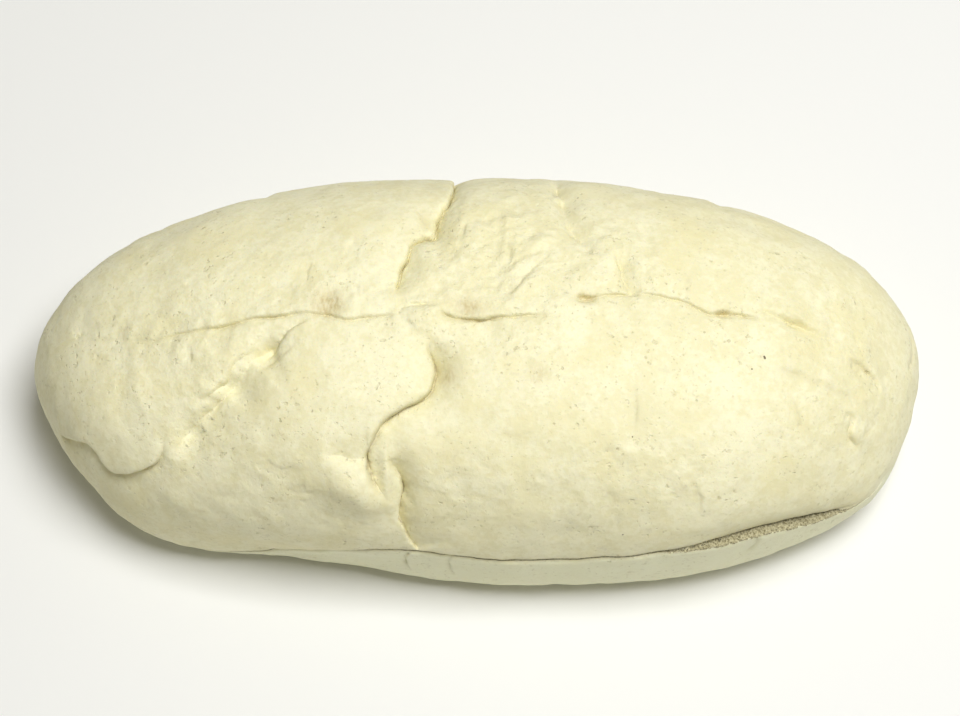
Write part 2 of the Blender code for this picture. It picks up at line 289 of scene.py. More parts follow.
@dataclass(frozen=True)
class Crease:
    """A line where the crust folded in as the roll cooled. Its raised bank is on the left of its route."""

    route: tuple[tuple[float, float], ...]
    depth: float
    lip: float  # width of the raised bank's rounded edge
    fall: float  # width of the other bank's slope
    swell: float = 0.0  # how far the raised bank stands proud
    over: float = 0.0  # how far the raised bank rolls over the other
    fades: tuple[float, float] = (0.25, 0.25)  # share of the length over which each end runs out
    painted_shade: float = 0.3  # how dark the painted shade along its line is
    sink: float = 0.0  # how far both banks are drawn in
    spread: float = 0.006  # how far from the line they are drawn in

    def places(self, form: RollForm, step: float) -> np.ndarray:
        """A Catmull-Rom curve through the route, with its places about step apart on the crust."""
        route = np.array(self.route, float)
        knots = form.points(route[:, 0], route[:, 1])
        ends = np.vstack([2 * route[0] - route[1], route, 2 * route[-1] - route[-2]])
        curve = []
        for i in range(len(route) - 1):
            before, start, stop, after = ends[i : i + 4]
            chord = np.linalg.norm(knots[i + 1] - knots[i])
            t = np.arange(0, 1, min(0.5, step / chord))[:, None]
            curve.append(0.5 * (
                2 * start + (stop - before) * t + (2 * before - 5 * start + 4 * stop - after) * t**2
                + (3 * start - before - 3 * stop + after) * t**3
            ))
        return np.vstack([*curve, route[-1:]])

    def spine(self, form: RollForm, step: float) -> Spine:
        """The crease's line on the bare crust."""
        places = self.places(form, step)
        points = form.points(places[:, 0], places[:, 1])
        tangents = np.gradient(points, axis=0)
        tangents /= np.linalg.norm(tangents, axis=1, keepdims=True)
        lefts = np.cross(form.normals(places[:, 0], places[:, 1]), tangents)
        lefts /= np.linalg.norm(lefts, axis=1, keepdims=True)
        run = np.concatenate([[0], np.cumsum(np.linalg.norm(np.diff(points, axis=0), axis=1))])
        start, stop = self.fades
        strength = ease(run / run[-1] / start) * ease((1 - run / run[-1]) / stop) * self.pulse(run)
        return Spine(points, tangents, lefts, run, strength, step)

    @staticmethod
    def pulse(run: np.ndarray) -> np.ndarray:
        """Slow noise along a crease, about 0.5 to 1."""
        length, mean, swing, seed = 0.0050, 0.78, 0.45, (3.7, 1.1)
        return mean + swing * np.array([noise.noise(Vector((value / length, *seed))) for value in run])

    def reach(self) -> float:
        """How far from its line a crease moves the crust."""
        wall, bank, slope, drawn_in = 2.5, 6, 6, 2.5  # each in its own widths
        lips = bank if self.swell else wall
        return max(lips * self.lip, slope * self.fall, drawn_in * self.spread if self.sink else 0)

    def rise(self, off: np.ndarray) -> np.ndarray:
        """How far the crust rises or sinks at each signed distance from the crease's line."""
        wall, wall_power = 0.45, 1.5  # the raised bank's wall is a share of its lip
        bank = 4  # lips over which the bank's height falls away
        q = np.abs(off) / self.lip
        swell = self.swell * (1 - np.exp(-(q**2))) * np.exp(-q / bank)
        raised = swell - self.depth * np.exp(-((q / wall) ** wall_power))
        fallen = -self.depth * np.exp(-np.abs(off) / self.fall)
        return np.where(off > 0, raised, fallen) - self.sink * bump(off, 0, self.spread)

    def line(self, off: np.ndarray) -> np.ndarray:
        """How much painted shade darkens the crease's line at each signed distance from it."""
        least, lip_share, most = 0.00022, 0.32, 0.0008
        return self.painted_shade * np.exp(-((off / min(least + lip_share * self.lip, most)) ** 2))

    def roll_over(self, off: np.ndarray) -> np.ndarray:
        """How far the raised bank leans across the crease at each signed distance from its line."""
        q = np.maximum(off, 0) / self.lip
        return self.over * q * np.exp(1 - q)


@dataclass(frozen=True)
class Lump:
    """A soft rise of the crust, or a hollow where height is negative."""

    place: tuple[float, float]
    along: float  # radius along X
    across: float  # radius round the girth
    height: float

    def rise(self, form: RollForm, points: np.ndarray) -> np.ndarray:
        """How far the lump moves each point out of the crust."""
        away = points - form.at(*self.place)
        along = away[:, 0] / self.along
        across = np.linalg.norm(away[:, 1:], axis=1) / self.across
        return self.height * np.exp(-(along**2) - across**2)


@dataclass(frozen=True)
class Patch:
    """A soft-edged patch of the crust."""

    place: tuple[float, float]
    along: float  # radius along X
    across: float  # radius round the girth
    strength: float

    def mask(self, form: RollForm, points: np.ndarray) -> np.ndarray:
        """How strongly the patch works at each point."""
        return Lump(self.place, self.along, self.across, self.strength).rise(form, points)


@dataclass(frozen=True)
class Puckers:
    """A patch of fine, roughly parallel wrinkles, placed by a seeded draw."""

    middle: tuple[float, float]
    spread: tuple[float, float]  # half extents, along X and in degrees of girth
    heading: float  # degrees, 0 along X and 90 up the girth
    count: int
    length: float
    depth: float
    seed: int
    scatter: float = 18.0  # degrees by which a wrinkle may turn from the heading
    halves: tuple[float, float] = (0.35, 0.65)  # a wrinkle's half length, in lengths
    sag: float = 0.25  # how far its middle may bow out, in half lengths
    widths: tuple[float, float] = (0.0004, 1.2)  # its lip's width: at least this, and this many depths more

    def creases(self, form: RollForm) -> list[Crease]:
        """The patch's wrinkles."""
        draw = np.random.default_rng(self.seed)
        section = form.half_width  # stands for the section's radius, all round
        made = []
        for _ in range(self.count):
            x, girth = np.array(self.middle) + draw.uniform(-1, 1, 2) * self.spread
            angle = math.radians(self.heading + draw.uniform(-1, 1) * self.scatter)
            half = self.length * draw.uniform(*self.halves)
            sag = half * draw.uniform(-self.sag, self.sag)
            route = []
            for t in (-1, 0, 1):
                along = half * t * math.cos(angle) - sag * (t == 0) * math.sin(angle)
                up = half * t * math.sin(angle) + sag * (t == 0) * math.cos(angle)
                route.append((x + along, girth + math.degrees(up / section)))
            depth = self.depth * draw.uniform(0.5, 1)
            width = self.widths[0] + self.widths[1] * depth
            made.append(Crease(tuple(route), depth, width, 1.5 * width, 0.3 * depth, fades=(0.5, 0.5)))
        return made


FOLDS = {
    "crown_left": Crease(
        ((-0.0774, 88), (-0.0698, 82), (-0.0627, 79), (-0.0560, 81), (-0.0494, 82), (-0.0430, 84),
         (-0.0379, 85), (-0.0333, 85), (-0.0281, 85), (-0.0244, 83), (-0.0195, 84), (-0.0150, 85)),
        depth=0.0011, lip=0.0010, fall=0.0012, over=0.0003, fades=(0.60, 0.05), painted_shade=0.6, sink=0.0002,
    ),
    "crown_middle": Crease(
        ((-0.0073, 87), (-0.0057, 84.5), (-0.0025, 83.5), (0.0007, 83.2), (0.0044, 84), (0.0078, 84.6),
         (0.0116, 85), (0.0155, 85), (0.0184, 86)),
        depth=0.0015, lip=0.0010, fall=0.0010, over=0.0005, fades=(0.08, 0.6), painted_shade=1.0, sink=0.0003,
    ),
    "crown_right": Crease(
        ((0.0186, 92), (0.0220, 92), (0.0244, 93), (0.0292, 94), (0.0328, 94), (0.0358, 93), (0.0397, 91),
         (0.0436, 88), (0.0463, 89), (0.0505, 89), (0.0527, 88)),
        depth=0.0008, lip=0.0009, fall=0.0011, over=0.0003, fades=(0.06, 0.1), painted_shade=0.45, sink=0.0003,
    ),
    "crown_end": Crease(
        ((0.0534, 94), (0.0547, 91), (0.0594, 89), (0.0646, 86), (0.0694, 83)),
        depth=0.0013, lip=0.0010, fall=0.0014, swell=0.0006, fades=(0.1, 0.5), painted_shade=0.25,
    ),
    "waist_far": Crease(
        ((-0.0155, 91), (-0.0148, 96), (-0.0144, 103), (-0.0132, 108), (-0.0126, 113), (-0.0101, 116),
         (-0.0082, 117), (-0.0078, 124), (-0.0069, 128), (-0.0055, 133), (-0.0048, 144), (-0.0050, 158),
         (-0.006, 180), (-0.008, 195)),
        depth=0.0022, lip=0.0010, fall=0.0013, swell=0.0005, over=0.0009, fades=(0.06, 0.3), painted_shade=0.7,
        sink=0.0006, spread=0.0035,
    ),
    "waist_near": Crease(
        ((-0.0162, 29), (-0.0171, 32), (-0.0186, 36), (-0.0195, 39), (-0.0200, 42), (-0.0195, 45),
         (-0.0184, 48), (-0.0166, 52), (-0.0139, 55), (-0.0107, 58), (-0.0085, 61), (-0.0078, 65),
         (-0.0078, 70), (-0.0087, 74), (-0.0091, 78)),
        depth=0.0024, lip=0.0010, fall=0.0018, swell=0.0007, over=0.0005, fades=(0.12, 0.12), painted_shade=1.0,
        sink=0.0005, spread=0.0050,
    ),
    "waist_foot": Crease(
        ((-0.0105, 10), (-0.0126, 16), (-0.0135, 20), (-0.0146, 23), (-0.0144, 27), (-0.0136, 31)),
        depth=0.0018, lip=0.0005, fall=0.0040, swell=0.0003, over=0.0010, fades=(0.10, 0.35), painted_shade=1.0,
    ),
    "waist_tongue": Crease(
        ((-0.0135, 20), (-0.0146, 23), (-0.0144, 27), (-0.0135, 31), (-0.0135, 35), (-0.0144, 38),
         (-0.0155, 41), (-0.0162, 44)),
        depth=0.0024, lip=0.0009, fall=0.0020, swell=0.0006, over=0.0006, fades=(0.30, 0.30), painted_shade=0.7,
        sink=0.0004, spread=0.0040,
    ),
    "shoulder_left": Crease(
        ((-0.0331, 83), (-0.0356, 78), (-0.0389, 75), (-0.0424, 71), (-0.0443, 66), (-0.0473, 59),
         (-0.0499, 54), (-0.0520, 50), (-0.0544, 45), (-0.0561, 40), (-0.0584, 34)),
        depth=0.0031, lip=0.0120, fall=0.0013, fades=(0.25, 0.25), painted_shade=0.10,
    ),
    "valley_edge": Crease(
        ((-0.0529, 53), (-0.0503, 58), (-0.0480, 61), (-0.0467, 63), (-0.0461, 67), (-0.0445, 71),
         (-0.0399, 76)),
        depth=0.0009, lip=0.0008, fall=0.0020, swell=0.0005, over=0.0003, fades=(0.3, 0.3), painted_shade=0.15,
    ),
    "valley_ridge": Crease(
        ((-0.0305, 84), (-0.0320, 83), (-0.0350, 80), (-0.0375, 76), (-0.0395, 72), (-0.0415, 70)),
        depth=0.0010, lip=0.0008, fall=0.0016, swell=0.0004, fades=(0.25, 0.3), painted_shade=0.10,
    ),
    "end_left": Crease(
        ((-0.0805, 18), (-0.0780, 24), (-0.0742, 30), (-0.0724, 28), (-0.0711, 24), (-0.0689, 22),
         (-0.0656, 24), (-0.0625, 28), (-0.0602, 32), (-0.0589, 37), (-0.0585, 41), (-0.0573, 47)),
        depth=0.0026, lip=0.0012, fall=0.0030, swell=0.0010, over=0.0012, fades=(0.06, 0.4), painted_shade=0.9,
    ),
    "shoulder_right": Crease(
        ((0.0292, 94), (0.0285, 97), (0.0277, 100), (0.0268, 105), (0.0259, 110)),
        depth=0.0014, lip=0.0012, fall=0.0013, swell=0.0003, fades=(0.1, 0.4), painted_shade=0.35,
        sink=0.0005, spread=0.0022,
    ),
    "shoulder_back": Crease(
        ((0.0233, 108), (0.0209, 111), (0.0198, 114), (0.0184, 118), (0.0173, 123), (0.0166, 131),
         (0.0156, 142), (0.0150, 160)),
        depth=0.0010, lip=0.0022, fall=0.0014, fades=(0.15, 0.4), painted_shade=0.15, sink=0.0010, spread=0.0022,
    ),
    "lobe_brow": Crease(
        ((-0.0200, 42), (-0.0229, 42), (-0.0255, 43), (-0.0288, 43)),
        depth=0.0016, lip=0.0020, fall=0.0030, swell=0.0004, fades=(0.05, 0.6), painted_shade=0.1,
    ),
    "tip_right": Crease(
        ((0.0840, 121), (0.0851, 112), (0.0854, 95), (0.0840, 75)),
        depth=0.0006, lip=0.0010, fall=0.0012, painted_shade=0.6,
    ),
    "foot_notch": Crease(
        ((-0.0125, 9), (-0.0135, 4), (-0.0120, -8)),
        depth=0.0009, lip=0.0006, fall=0.0012, over=0.0002, fades=(0.05, 0.5), painted_shade=0.5,
    ),
    "foot_step": Crease(
        ((-0.0040, 9), (-0.0050, 2), (-0.0035, -8)),
        depth=0.0006, lip=0.0005, fall=0.0010, fades=(0.1, 0.5),
    ),
    "foot_right": Crease(
        ((0.0542, 10), (0.0535, 3), (0.0518, -3)),
        depth=0.0007, lip=0.0006, fall=0.0012, swell=0.0002, fades=(0.1, 0.5),
    ),
    "back_left": Crease(
        ((-0.047, 192), (-0.044, 178), (-0.046, 166), (-0.042, 155), (-0.043, 146)),
        depth=0.0012, lip=0.0016, fall=0.0028, swell=0.0004,
    ),
    "back_right": Crease(
        ((0.049, 145), (0.047, 155), (0.051, 168), (0.049, 186)),
        depth=0.0010, lip=0.0016, fall=0.0026, swell=0.0003,
    ),
}


def wrinkle(*route: tuple[float, float], depth: float, width: float = 0.0006, swell: float = 0.3) -> Crease:
    """A fine crease, named only by its route and depth.

    Args:
        *route: Places on the crust.
        depth: How deep it is.
        width: The width of its raised bank's edge.
        swell: How proud that bank stands, as a share of the depth.

    Returns:
        The crease.
    """
    return Crease(route, depth, width, 1.6 * width, swell * depth, fades=(0.35, 0.35))


WRINKLES = (
    # the panel behind the crown
    wrinkle((0.0044, 104), (0.0069, 105), (0.0094, 108), depth=0.00045, width=0.0008),
    wrinkle((0.0110, 107), (0.0103, 102), (0.0080, 97), (0.0062, 93), (0.0057, 89),
            depth=0.0005, width=0.0009),
    wrinkle((0.0041, 125), (0.0048, 116), depth=0.00035, width=0.0008),
    wrinkle((-0.0023, 120), (-0.0032, 115), depth=0.00035, width=0.0008),
    wrinkle((0.0002, 98), (0.0014, 101), (0.0027, 102), depth=0.0004, width=0.0008),
    wrinkle((-0.0071, 104), (-0.0037, 107), depth=0.0003, width=0.0008),
    wrinkle((-0.0062, 92), (-0.0027, 91), (0.0005, 93), depth=0.0003, width=0.0007),
    # the right shoulder and the horizon beside it
    wrinkle((0.0209, 111), (0.0220, 108), (0.0235, 109), depth=0.0003),
    wrinkle((0.0159, 148), (0.0144, 136), (0.0128, 134), depth=0.0004),
    # right end
    wrinkle((0.0582, 98), (0.0591, 92), (0.0622, 88), depth=0.0004, width=0.0008),
    wrinkle((0.0700, 81), (0.0713, 76), (0.0748, 72), (0.0772, 65), (0.0779, 59),
            depth=0.0009, width=0.0009, swell=0.6),
    wrinkle((0.0516, 71), (0.0591, 68), (0.0671, 62), (0.0747, 56), depth=0.0005, width=0.0018),
    wrinkle((0.0684, 56), (0.0711, 50), (0.0707, 43), (0.0730, 34), depth=0.0009,
            width=0.0009, swell=0.6),
    wrinkle((0.0575, 65), (0.0601, 52), (0.0601, 44), depth=0.0004, width=0.0009),
    wrinkle((0.0542, 103), (0.0534, 94), depth=0.00035, width=0.0008),
    wrinkle((0.0401, 104), (0.0395, 93), depth=0.00025, width=0.0008),
    # belly
    wrinkle((0.0290, 66), (0.0294, 57), (0.0288, 49), depth=0.00025, width=0.0007),
    wrinkle((0.0395, 37), (0.0418, 31), (0.0411, 26), depth=0.0004, width=0.0008),
    # left back and left end
    wrinkle((-0.0318, 105), (-0.0322, 96), depth=0.0004, width=0.0007),
    wrinkle((-0.0222, 90), (-0.0193, 93), (-0.0157, 95), depth=0.0005, width=0.0008),
    wrinkle((-0.0218, 97), (-0.0184, 102), (-0.0155, 105), depth=0.0003),
    wrinkle((-0.0251, 106), (-0.0242, 111), (-0.0220, 113), depth=0.0003),
    wrinkle((-0.0101, 116), (-0.0112, 124), (-0.0128, 128), depth=0.0004, width=0.0008),
    wrinkle((-0.0811, 86), (-0.0767, 86), (-0.0765, 92), depth=0.0004),
    wrinkle((-0.0540, 76), (-0.0536, 69), depth=0.0004),
    # the valley between the left lobes
    wrinkle((-0.0326, 78), (-0.0354, 73), (-0.0391, 69), (-0.0422, 66), depth=0.0004,
            width=0.0008, swell=0.6),
    wrinkle((-0.0463, 61), (-0.0484, 56), (-0.0503, 52), depth=0.0004, width=0.0008, swell=0.6),
    # the knot where the folds meet
    wrinkle((-0.0152, 84), (-0.0138, 88), (-0.0100, 89), (-0.0062, 88), depth=0.0008, swell=0.5),
    wrinkle((-0.0148, 83), (-0.0129, 82), (-0.0109, 80), depth=0.0006, width=0.0008),
    # left lobe
    wrinkle((-0.0397, 41), (-0.0362, 38), (-0.0322, 40), depth=0.0003, width=0.0009),
    wrinkle((-0.0356, 33), (-0.0326, 31), (-0.0288, 33), depth=0.0003, width=0.0009),
    # dimples along the crown
    Crease(
        ((0.0180, 92), (0.0202, 92), (0.0228, 92)), 0.0014, 0.0005, 0.0008, fades=(0.3, 0.4), painted_shade=0.9,
    ),
    Crease(
        ((0.0446, 89), (0.0464, 90), (0.0482, 90)), 0.0012, 0.0005, 0.0006, fades=(0.3, 0.3), painted_shade=1.0,
    ),
    Crease(
        ((0.0492, 90), (0.0508, 89), (0.0530, 88)), 0.0009, 0.0005, 0.0006, fades=(0.3, 0.3), painted_shade=0.9,
    ),
)

PUCKERS = (
    Puckers((-0.062, 84), (0.016, 8), 10, 9, 0.0040, 0.00022, seed=11),
    Puckers((-0.047, 72), (0.008, 9), 60, 6, 0.0040, 0.00022, seed=12),
    Puckers((0.001, 108), (0.011, 12), 70, 16, 0.0035, 0.00028, seed=13),
    Puckers((-0.030, 102), (0.016, 12), 75, 12, 0.0040, 0.00022, seed=14),
    Puckers((0.066, 70), (0.010, 18), 110, 12, 0.0045, 0.00022, seed=15),
    Puckers((0.010, 40), (0.020, 9), 40, 10, 0.0030, 0.00016, seed=16),
    Puckers((0.038, 38), (0.014, 8), 50, 10, 0.0030, 0.00022, seed=17),
    Puckers((-0.036, 30), (0.018, 12), 20, 9, 0.0040, 0.00016, seed=18),
    Puckers((-0.072, 60), (0.008, 20), 80, 8, 0.0035, 0.00020, seed=19),
    Puckers((0.000, 165), (0.060, 22), 80, 26, 0.0050, 0.00025, seed=20),
    Puckers((-0.0285, 89), (0.0024, 2.5), 85, 12, 0.0026, 0.00022, seed=21, scatter=10),
    Puckers((-0.0020, 88), (0.0035, 2.5), 5, 9, 0.0035, 0.00022, seed=22, scatter=14),
)

CRUMPLES = (
    Patch((-0.030, 92), 0.0190, 0.0070, 0.45),  # along the crown, left
    Patch((-0.058, 84), 0.0150, 0.0110, 0.45),  # left end of the crown
    Patch((0.004, 104), 0.0150, 0.0170, 0.90),  # the panel behind the crown
    Patch((0.030, 104), 0.0120, 0.0120, 0.35),  # beside the right shoulder
    Patch((-0.050, 66), 0.0090, 0.0100, 0.25),  # the left shoulder
    Patch((-0.055, 50), 0.0100, 0.0120, 0.25),  # the left end's lobe
    Patch((0.060, 92), 0.0130, 0.0070, 0.40),  # along the crown, right
    Patch((0.070, 66), 0.0110, 0.0190, 0.45),  # right end
    Patch((0.036, 38), 0.0160, 0.0080, 0.40),  # belly, right
    Patch((0.004, 34), 0.0140, 0.0080, 0.30),  # belly, beside the waist
    Patch((-0.033, 30), 0.0140, 0.0080, 0.30),  # under the left lobe
    Patch((-0.009, 86), 0.0050, 0.0050, 0.50),  # where the folds meet
)

LUMPS = (
    Lump((-0.0236, 35), 0.0050, 0.0040, 0.0024),  # knuckle beside the waist
    Lump((-0.0197, 30), 0.0030, 0.0032, 0.0014),  # smaller one under it
    Lump((-0.0149, 34), 0.0032, 0.0080, -0.0016),  # hollow beside the tongue
    Lump((-0.0166, 37), 0.0012, 0.0042, 0.0015),  # tongue between the waist's two folds
    Lump((-0.0090, 85), 0.0028, 0.0022, 0.0014),  # knob where the folds meet
    Lump((-0.0290, 54), 0.0160, 0.0175, 0.0018),  # left lobe
    Lump((-0.070, 46), 0.0125, 0.0150, 0.0017),  # left end lobe
    Lump((-0.0080, 67), 0.0034, 0.0062, -0.0017),  # hollow beside the waist's lip
    Lump((0.0202, 91), 0.0022, 0.0010, -0.0008),  # dimple behind the crown's line
    Lump((0.0464, 89), 0.0020, 0.0008, -0.0006),  # and one in it
    Lump((-0.0146, 102), 0.0032, 0.0090, -0.0009),  # hollow along the waist's far fold
    Lump((-0.0086, 120), 0.0032, 0.0080, -0.0009),  # and further down it
    Lump((-0.070, 69), 0.0110, 0.0070, -0.0010),  # hollow between the crown's line and the end lobe
    Lump((0.030, 34), 0.0500, 0.0130, 0.0012),  # belly
    Lump((0.004, 107), 0.0160, 0.0100, -0.0010),  # flattened panel behind the crown
    Lump((-0.040, 100), 0.0200, 0.0100, 0.0006),  # left back
    Lump((0.030, 55), 0.0280, 0.0180, 0.0010),  # right body
    Lump((0.060, 62), 0.0120, 0.0120, 0.0006),  # its right end
    Lump((-0.032, -8), 0.0210, 0.0110, -0.0034),  # the base draws in under the left lobe
    Lump((0.079, 78), 0.0060, 0.0060, -0.0008),  # dimple at the right tip
    Lump((-0.0570, 22), 0.0030, 0.0030, 0.0006),  # bead under the left end's fold
    Lump((-0.0645, -10), 0.0125, 0.0120, 0.0020),  # the left end's full lower corner
    Lump((0.0765, -9), 0.0105, 0.0120, 0.0018),  # the right end's
    Lump((0.0850, 130), 0.0060, 0.0080, 0.0008),  # right tip, far side
    Lump((0.0750, 150), 0.0100, 0.0100, 0.0005),  # back, beside it
    Lump((0.0370, 153), 0.0130, 0.0100, -0.0005),  # back, flatter
    Lump((-0.0860, 128), 0.0040, 0.0060, 0.0007),  # left tip, far side
    Lump((-0.0865, 8), 0.0050, 0.0080, 0.0004),  # left tip, near side
    Lump((0.0070, -13), 0.0100, 0.0100, 0.0007),  # base, middle
)

# Tan smears. Those at (-0.0053, 66), at the tip of a hollow, and at (0.0202, 92) and (0.0464, 90), in the
# crown's dimples, are painted shade in those hollows.
SMEARS_AND_SHADE = (
    Patch((-0.0288, 89), 0.0022, 0.0026, 1.0),
    Patch((-0.0262, 89), 0.0018, 0.0022, 0.6),
    Patch((-0.0016, 88), 0.0026, 0.0016, 1.0),
    Patch((0.0114, 66), 0.0016, 0.0018, 0.6),
    Patch((-0.0053, 66), 0.0020, 0.0020, 0.7),
    Patch((0.0202, 92), 0.0020, 0.0011, 0.9),
    Patch((0.0464, 90), 0.0018, 0.0008, 0.8),
)

SPECKS = {  # the radius of a dark speck at each place
    (0.0536, 73): 0.00022, (0.0535, 73.5): 0.00020, (0.0511, 69): 0.00018, (0.0277, 20): 0.00016,
    (0.0288, 49): 0.00014,
}


# The slit


@dataclass(frozen=True)
class Slit:
    """The knife's cut along the near side, a little open at its right end."""

    ends: tuple[float, float] = (-0.062, 0.0795)
    level: float = 0.0225
    drop_left: tuple[float, float, float] = (-0.012, -0.050, 0.0150)  # starts at x, done at x, how far
    drop_right: tuple[float, float, float] = (0.052, 0.080, 0.0068)
    dip: tuple[float, float, float] = (0.010, 0.021, 0.0026)  # x, reach and depth of the middle's sag
    depth: float = 0.013
    gap: float = 0.00018
    mouth: tuple[float, float, float] = (0.064, 0.012, 0.0009)  # x, reach and extra gap of the open end
    tip_gap: float = 0.00018
    tapers: tuple[float, float] = (0.26, 0.12)  # share of the length over which each end closes
    closed_share: float = 0.05
    set_back: tuple[float, float] = (0.0011, 0.0035)  # upper lip, where crumb shows: how far, what height
    stand_out: tuple[float, float, float] = (0.0001, 0.0003, 0.0030)  # lower lip: all along, extra, height
    rounded: tuple[float, float] = (0.0004, 0.0006)  # how far both lips' edges turn in, over what height
    bared: tuple[float, float, float, float] = (0.032, 0.050, 0.064, 0.0785)  # where its crumb shows
    near_side: float = 0.010  # how far from the roll's middle line the lips' shift and painted shade are full
    # painted shadow under the slit's upper lip
    painted_shade: float = 0.85
    painted_shade_height: tuple[float, float, float] = (0.0009, 0.0009, 0.3)  # the painted shadow's reach above, extra, share below
    under_fades: tuple[float, float] = (0.0012, 0.020)  # down from the slit, and out from the middle line
    stations: int = 420
    rows: int = 26
    overhang: float = 0.004  # how far the blade stands out of the crust
    crowding: float = 1.5  # above 1, the blade's rows lie closest at the mouth
    crumb_grains: tuple[tuple[float, float], ...] = ((0.0007, 0.00013), (0.0028, 0.00026))
    crumb_starts: float = 0.004  # how far in that relief is full, from none at the mouth

    def level_at(self, x: np.ndarray) -> np.ndarray:
        """The slit's height at each x."""
        level = self.level
        for starts, done, drop in (self.drop_left, self.drop_right):
            level = level - drop * ease((x - starts) / (done - starts))
        dip_x, dip_reach, dip = self.dip
        return level - dip * bump(x, dip_x, dip_reach)

    def gap_at(self, x: np.ndarray) -> np.ndarray:
        """How far the slit stands open at the crust."""
        mouth_x, reach, extra = self.mouth
        share = np.minimum(1, self.closed_share + self.open_share(x))
        return share * (self.gap + extra * bump(x, mouth_x, reach))

    def open_share(self, x: np.ndarray) -> np.ndarray:
        """0 beyond the slit's ends, rising to 1 between them."""
        along = (x - self.ends[0]) / (self.ends[1] - self.ends[0])
        return ease(np.minimum(along / self.tapers[0], (1 - along) / self.tapers[1]))

    def bareness(self, x: np.ndarray, full: float) -> np.ndarray:
        """1 where the crumb shows and 0 well away from there, rising until x is full."""
        starts, _, fades, done = self.bared
        return ease((x - starts) / (full - starts)) * ease((done - x) / (done - fades))

    def lip_shift(self, points: np.ndarray) -> np.ndarray:
        """How far +Y each point moves, for the upper lip to stand back and the lower one out."""
        x = points[:, 0]
        bare = self.bareness(x, self.bared[1])
        above = points[:, 2] - self.level_at(x)
        near = ease(-points[:, 1] / self.near_side)
        back, back_height = self.set_back
        out, more_out, out_height = self.stand_out
        upper = back * bare * bump(above, 0, back_height)
        lower = (out + more_out * bare) * bump(above, 0, out_height)
        turned_in = self.rounded[0] * bump(above, 0, self.rounded[1])
        return (np.where(above > 0, upper, -lower) + turned_in) * self.open_share(x) * near

    def line(self, points: np.ndarray) -> np.ndarray:
        """How dark the painted shadow makes the crust beside the slit, most of all just above it under the
        upper lip, at each point.
        """
        height, more_height, below_share = self.painted_shade_height
        x = points[:, 0]
        height = height + more_height * self.bareness(x, self.bared[3])
        above = points[:, 2] - self.level_at(x)
        brown = np.where(above > 0, bump(above, 0, height), bump(above, 0, below_share * height))
        return self.painted_shade * brown * self.open_share(x) * ease(-points[:, 1] / self.near_side)

    def under(self, points: np.ndarray) -> np.ndarray:
        """1 on the paler crust below the slit, and 0 above it."""
        below = self.level_at(points[:, 0]) - points[:, 2]
        down, out = self.under_fades
        return ease(below / down) * ease(-points[:, 1] / out)

    def blade(self, form: RollForm, crumb: bpy.types.Material) -> bpy.types.Object:
        """The sheet of air that the knife left, with crumb's roughness on both of its faces.

        Args:
            form: The roll that it cuts.
            crumb: The material of what it lays bare.

        Returns:
            The blade, a closed mesh.
        """
        bpy.ops.object.select_all(action="DESELECT")
        bpy.ops.mesh.primitive_grid_add(x_subdivisions=self.stations, y_subdivisions=self.rows, size=2)
        blade = renamed(bpy.context.object, "slit_blade")
        across, inward, _ = (vertex_array(blade.data).T + 1) / 2
        first, last = self.ends
        x = first + (last - first) * across
        level = self.level_at(x)
        depth = inward**self.crowding
        y = form.at_level(x, level)[:, 1] - self.overhang + depth * (self.overhang + self.depth)
        set_vertices(blade.data, np.stack([x, y, level], axis=1))
        gap = self.gap_at(x)
        gap += (self.tip_gap - gap) * ease(depth)
        widest = self.gap + self.mouth[2]
        gaps = blade.vertex_groups.new(name="gap")
        for index, share in enumerate(gap / widest):
            gaps.add([index], share, "REPLACE")
        apply_modifier(blade, "SOLIDIFY", thickness=widest, offset=0, vertex_group="gap")
        points = vertex_array(blade.data)
        mouth = form.at_level(points[:, 0], self.level_at(points[:, 0]))[:, 1]
        inside = ease((points[:, 1] - mouth) / self.crumb_starts)
        for size, height in self.crumb_grains:
            points[:, 2] += height * inside * noise_at(points, size)
        set_vertices(blade.data, points)
        blade.data.materials.append(crumb)
        return blade


# The crust


